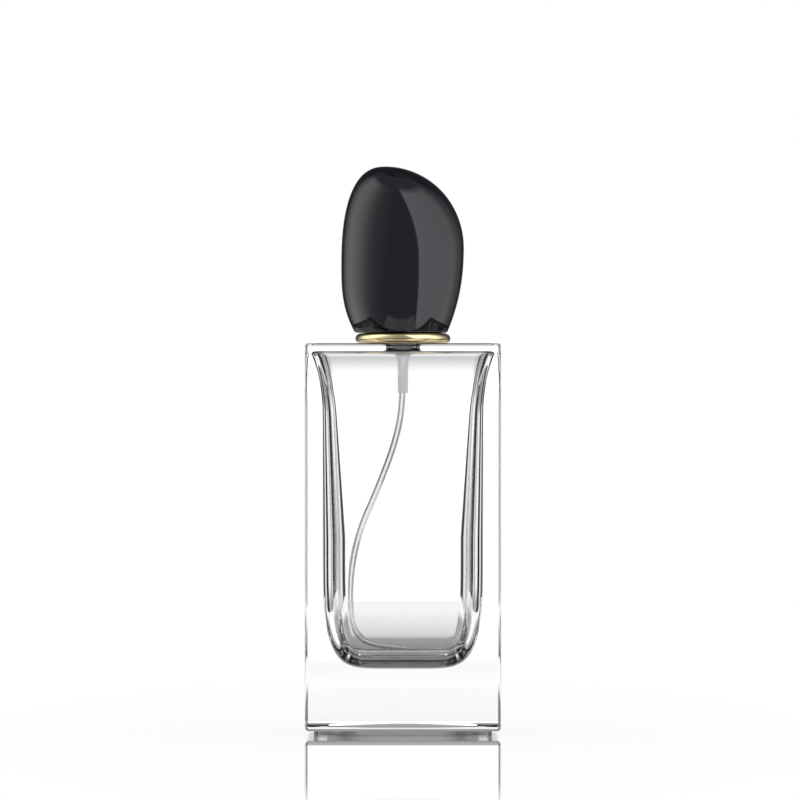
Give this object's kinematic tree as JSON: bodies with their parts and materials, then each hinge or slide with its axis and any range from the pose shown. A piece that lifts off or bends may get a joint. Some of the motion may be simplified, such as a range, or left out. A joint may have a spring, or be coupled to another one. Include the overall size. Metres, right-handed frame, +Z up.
{
  "type": "aftershave spray bottle",
  "caption": "Clear glass aftershave bottle with a thick base, a gold collar, a fine-mist pump with a curved dip tube and a glossy black pebble cap that pulls off.",
  "frame": {"origin": "centre of the bottle's base, on the surface it stands on", "axes": "+Z up along the bottle, -Y out of the wide front face that the mist nozzle points to, +X to its right"},
  "size_m": [0.053, 0.038, 0.1548],
  "materials": {
    "clear_glass": "clear polished glass, fine stipple under the base corners",
    "gold": "pale gold anodised, bright",
    "ferrule_metal": "drawn, satin",
    "black_lacquer": "high gloss black",
    "liner_plastic": "natural polypropylene, satin",
    "pump_plastic": "translucent natural polyethylene",
    "insert_plastic": "natural polypropylene, satin",
    "tube_plastic": "clear polyethylene tube",
    "seal": "nitrile, matt",
    "steel": "bright drawn steel",
    "button_plastic": "white moulded, satin",
    "nozzle_plastic": "moulded, satin"
  },
  "bodies": {
    "bottle": {"glass_bottle": "clear_glass", "collar_ring": "gold", "collar_insert": "insert_plastic", "crimp_ferrule": "ferrule_metal", "neck_gasket": "seal", "pump_housing": "pump_plastic", "pump_turret": "pump_plastic", "dip_tube": "tube_plastic", "return_spring": "steel"},
    "plunger": {"pump_stem": "pump_plastic", "valve_core": "pump_plastic", "precompression_spring": "steel"},
    "piston": {"piston": "pump_plastic"},
    "button": {"actuator_core": "button_plastic", "actuator_shell": "gold", "nozzle_insert": "nozzle_plastic"},
    "ball": {"inlet_ball": "steel"},
    "cap": {"cap_shell": "black_lacquer", "cap_insert": "liner_plastic"}
  },
  "joints": [
    {"name": "cap_lift", "type": "slide", "parent": "bottle", "child": "cap", "axis": [0, 0, 1], "range_m": [0, 0.04]},
    {"name": "button_press", "type": "slide", "parent": "bottle", "child": "plunger", "axis": [0, 0, -1], "range_m": [0, 0.0042], "stiffness_N_per_m": 1500, "springref_m": -0.0005, "deforming": ["return_spring"]},
    {"name": "button_turn", "type": "hinge", "parent": "plunger", "child": "button", "pos_m": [0, 0, 0.1247], "axis": [0, 0, 1], "continuous": true},
    {"name": "piston_lift", "type": "slide", "parent": "plunger", "child": "piston", "axis": [0, 0, 1], "range_m": [0, 0.00042], "deforming": ["precompression_spring"]},
    {"name": "ball_lift", "type": "slide", "parent": "bottle", "child": "ball", "axis": [0, 0, 1], "range_m": [0, 0.0008]}
  ],
  "couplings": [
    {"joint": "piston_lift", "follows": "button_press", "ratio": 0.1}
  ]
}
